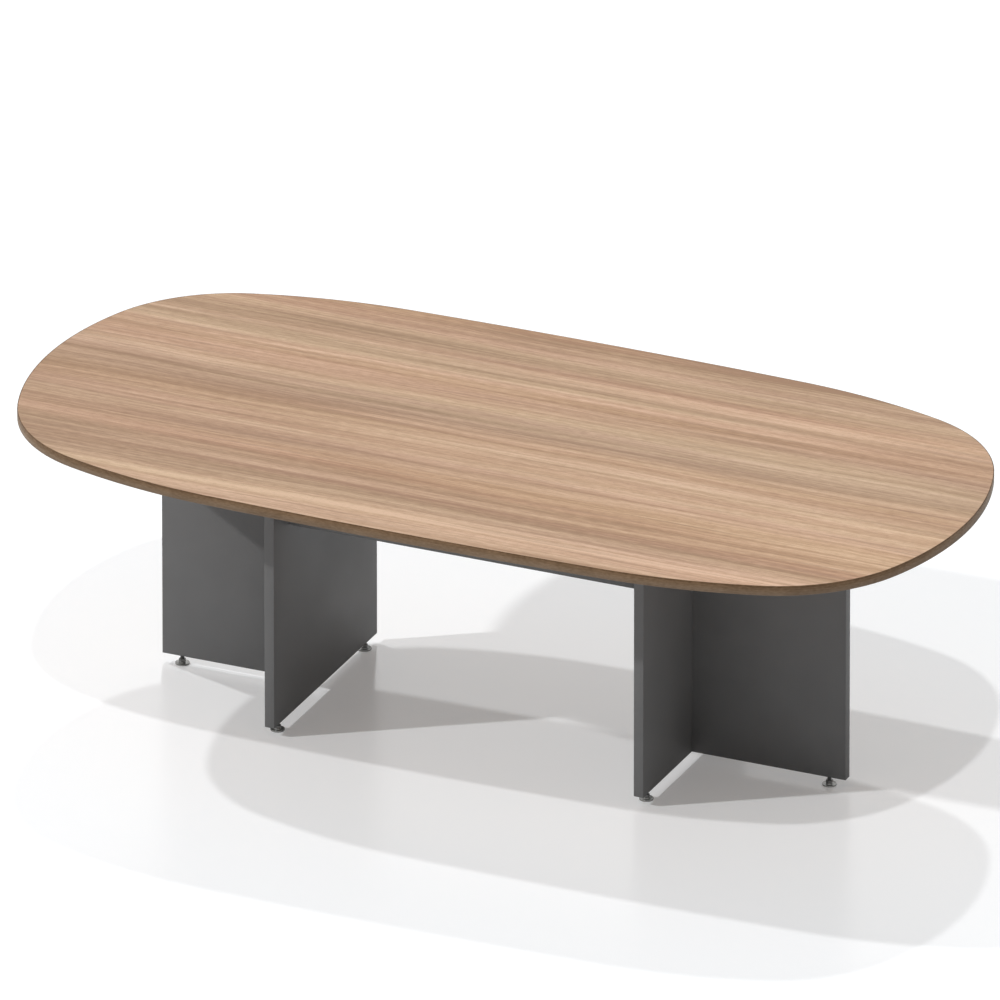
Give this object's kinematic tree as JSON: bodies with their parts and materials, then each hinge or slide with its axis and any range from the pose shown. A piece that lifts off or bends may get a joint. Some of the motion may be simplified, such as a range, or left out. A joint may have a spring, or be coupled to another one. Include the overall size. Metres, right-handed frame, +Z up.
{
  "type": "conference table",
  "caption": "Free-standing meeting table with a barrel-shaped wood-decor top and dark lipped edge on T-shaped graphite panel legs with rails and screw levelling feet.",
  "frame": {"origin": "on the floor, under the middle of the top", "axes": "+X along the length of the table, +Y towards its rear long side, +Z up"},
  "size_m": [2.4, 1.2, 0.75],
  "materials": {
    "wood_decor": "satin melamine with a fine straight grain along the table",
    "edge_lipping": "dark brown satin lipping",
    "graphite_board": "plain graphite melamine, low sheen",
    "pad_steel": "bright plated steel",
    "foot_steel": "bright zinc-plated steel",
    "insert_steel": "plated steel sleeve",
    "cam_zinc": "die-cast zinc",
    "bolt_steel": "plated steel",
    "dowel_beech": "plain fluted beech"
  },
  "bodies": {
    "table": {"table_top": "wood_decor", "top_edge_band": "edge_lipping", "left_cross_panel": "graphite_board", "left_stem_panel": "graphite_board", "right_cross_panel": "graphite_board", "right_stem_panel": "graphite_board", "front_rail": "graphite_board", "rear_rail": "graphite_board", "left_front_foot_insert": "insert_steel", "left_rear_foot_insert": "insert_steel", "left_stem_foot_insert": "insert_steel", "right_front_foot_insert": "insert_steel", "right_rear_foot_insert": "insert_steel", "right_stem_foot_insert": "insert_steel", "left_stem_lower_cam": "cam_zinc", "left_stem_upper_cam": "cam_zinc", "left_front_top_cam": "cam_zinc", "left_rear_top_cam": "cam_zinc", "left_stem_top_cam": "cam_zinc", "right_stem_lower_cam": "cam_zinc", "right_stem_upper_cam": "cam_zinc", "right_front_top_cam": "cam_zinc", "right_rear_top_cam": "cam_zinc", "right_stem_top_cam": "cam_zinc", "front_rail_left_cam": "cam_zinc", "front_rail_right_cam": "cam_zinc", "rear_rail_left_cam": "cam_zinc", "rear_rail_right_cam": "cam_zinc", "left_stem_lower_bolt": "bolt_steel", "left_stem_upper_bolt": "bolt_steel", "left_front_top_bolt": "bolt_steel", "left_rear_top_bolt": "bolt_steel", "left_stem_top_bolt": "bolt_steel", "right_stem_lower_bolt": "bolt_steel", "right_stem_upper_bolt": "bolt_steel", "right_front_top_bolt": "bolt_steel", "right_rear_top_bolt": "bolt_steel", "right_stem_top_bolt": "bolt_steel", "front_rail_left_bolt": "bolt_steel", "front_rail_right_bolt": "bolt_steel", "rear_rail_left_bolt": "bolt_steel", "rear_rail_right_bolt": "bolt_steel", "left_stem_dowel": "dowel_beech", "right_stem_dowel": "dowel_beech", "front_rail_left_dowel": "dowel_beech", "front_rail_right_dowel": "dowel_beech", "rear_rail_left_dowel": "dowel_beech", "rear_rail_right_dowel": "dowel_beech"},
    "left_front_pad": {"left_front_foot_pad": "pad_steel"},
    "left_front_stud": {"left_front_foot_stud": "foot_steel"},
    "left_rear_pad": {"left_rear_foot_pad": "pad_steel"},
    "left_rear_stud": {"left_rear_foot_stud": "foot_steel"},
    "left_stem_pad": {"left_stem_foot_pad": "pad_steel"},
    "left_stem_stud": {"left_stem_foot_stud": "foot_steel"},
    "right_front_pad": {"right_front_foot_pad": "pad_steel"},
    "right_front_stud": {"right_front_foot_stud": "foot_steel"},
    "right_rear_pad": {"right_rear_foot_pad": "pad_steel"},
    "right_rear_stud": {"right_rear_foot_stud": "foot_steel"},
    "right_stem_pad": {"right_stem_foot_pad": "pad_steel"},
    "right_stem_stud": {"right_stem_foot_stud": "foot_steel"}
  },
  "joints": [
    {"name": "left_front_foot_lift", "type": "slide", "parent": "table", "child": "left_front_pad", "axis": [0, 0, 1], "range_m": [-0.012, 0.009]},
    {"name": "left_front_foot_turn", "type": "hinge", "parent": "left_front_pad", "child": "left_front_stud", "pos_m": [-0.4825, -0.253, 0.01], "axis": [0, 0, 1], "range_deg": [-2882, 2162]},
    {"name": "left_rear_foot_lift", "type": "slide", "parent": "table", "child": "left_rear_pad", "axis": [0, 0, 1], "range_m": [-0.012, 0.009]},
    {"name": "left_rear_foot_turn", "type": "hinge", "parent": "left_rear_pad", "child": "left_rear_stud", "pos_m": [-0.4825, 0.253, 0.01], "axis": [0, 0, 1], "range_deg": [-2882, 2162]},
    {"name": "left_stem_foot_lift", "type": "slide", "parent": "table", "child": "left_stem_pad", "axis": [0, 0, 1], "range_m": [-0.012, 0.009]},
    {"name": "left_stem_foot_turn", "type": "hinge", "parent": "left_stem_pad", "child": "left_stem_stud", "pos_m": [-0.848, 0, 0.01], "axis": [0, 0, 1], "range_deg": [-2882, 2162]},
    {"name": "right_front_foot_lift", "type": "slide", "parent": "table", "child": "right_front_pad", "axis": [0, 0, 1], "range_m": [-0.012, 0.009]},
    {"name": "right_front_foot_turn", "type": "hinge", "parent": "right_front_pad", "child": "right_front_stud", "pos_m": [0.4825, -0.253, 0.01], "axis": [0, 0, 1], "range_deg": [-2882, 2162]},
    {"name": "right_rear_foot_lift", "type": "slide", "parent": "table", "child": "right_rear_pad", "axis": [0, 0, 1], "range_m": [-0.012, 0.009]},
    {"name": "right_rear_foot_turn", "type": "hinge", "parent": "right_rear_pad", "child": "right_rear_stud", "pos_m": [0.4825, 0.253, 0.01], "axis": [0, 0, 1], "range_deg": [-2882, 2162]},
    {"name": "right_stem_foot_lift", "type": "slide", "parent": "table", "child": "right_stem_pad", "axis": [0, 0, 1], "range_m": [-0.012, 0.009]},
    {"name": "right_stem_foot_turn", "type": "hinge", "parent": "right_stem_pad", "child": "right_stem_stud", "pos_m": [0.848, 0, 0.01], "axis": [0, 0, 1], "range_deg": [-2882, 2162]}
  ],
  "couplings": [
    {"joint": "left_front_foot_turn", "follows": "left_front_foot_lift", "rad_per_m": 4188.8},
    {"joint": "left_rear_foot_turn", "follows": "left_rear_foot_lift", "rad_per_m": 4188.8},
    {"joint": "left_stem_foot_turn", "follows": "left_stem_foot_lift", "rad_per_m": 4188.8},
    {"joint": "right_front_foot_turn", "follows": "right_front_foot_lift", "rad_per_m": 4188.8},
    {"joint": "right_rear_foot_turn", "follows": "right_rear_foot_lift", "rad_per_m": 4188.8},
    {"joint": "right_stem_foot_turn", "follows": "right_stem_foot_lift", "rad_per_m": 4188.8}
  ]
}
